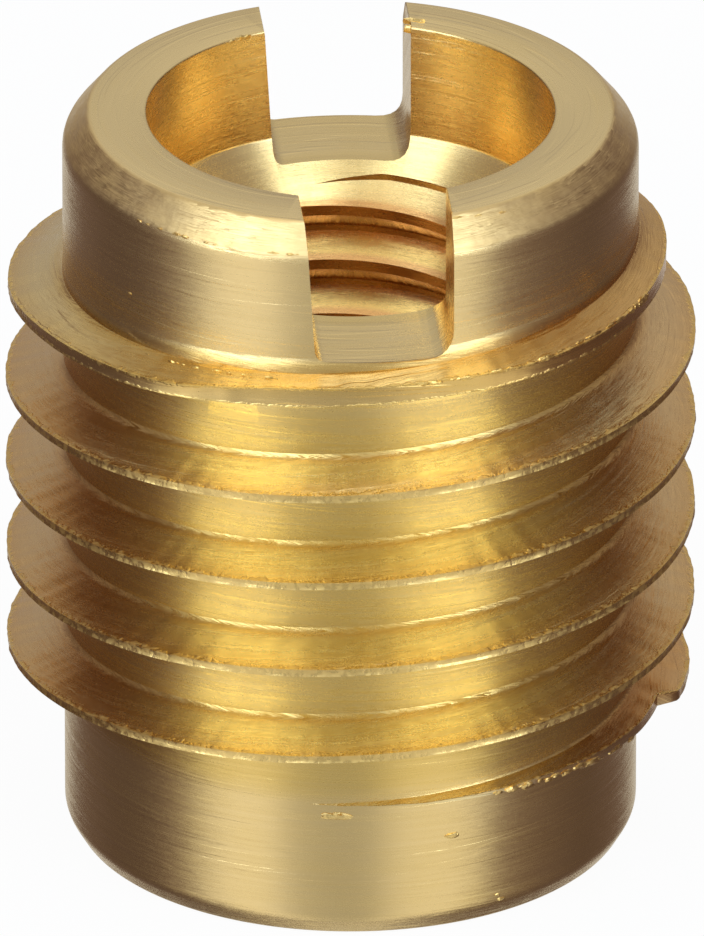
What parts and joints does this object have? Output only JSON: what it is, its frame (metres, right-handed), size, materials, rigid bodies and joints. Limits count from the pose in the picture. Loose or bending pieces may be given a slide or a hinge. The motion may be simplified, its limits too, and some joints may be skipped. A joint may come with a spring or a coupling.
{
  "type": "threaded insert",
  "caption": "Slotted brass insert that screws into a plain hole in wood and holds a metric machine screw.",
  "frame": {"origin": "centre of the plain end face", "axes": "+Z along the axis, from the plain end to the slotted end; the slot runs along Y"},
  "size_m": [0.0116, 0.0116, 0.013],
  "materials": {
    "brass": "bright turned brass with fine tool marks"
  },
  "bodies": {
    "root": {"insert": "brass"}
  },
  "joints": []
}
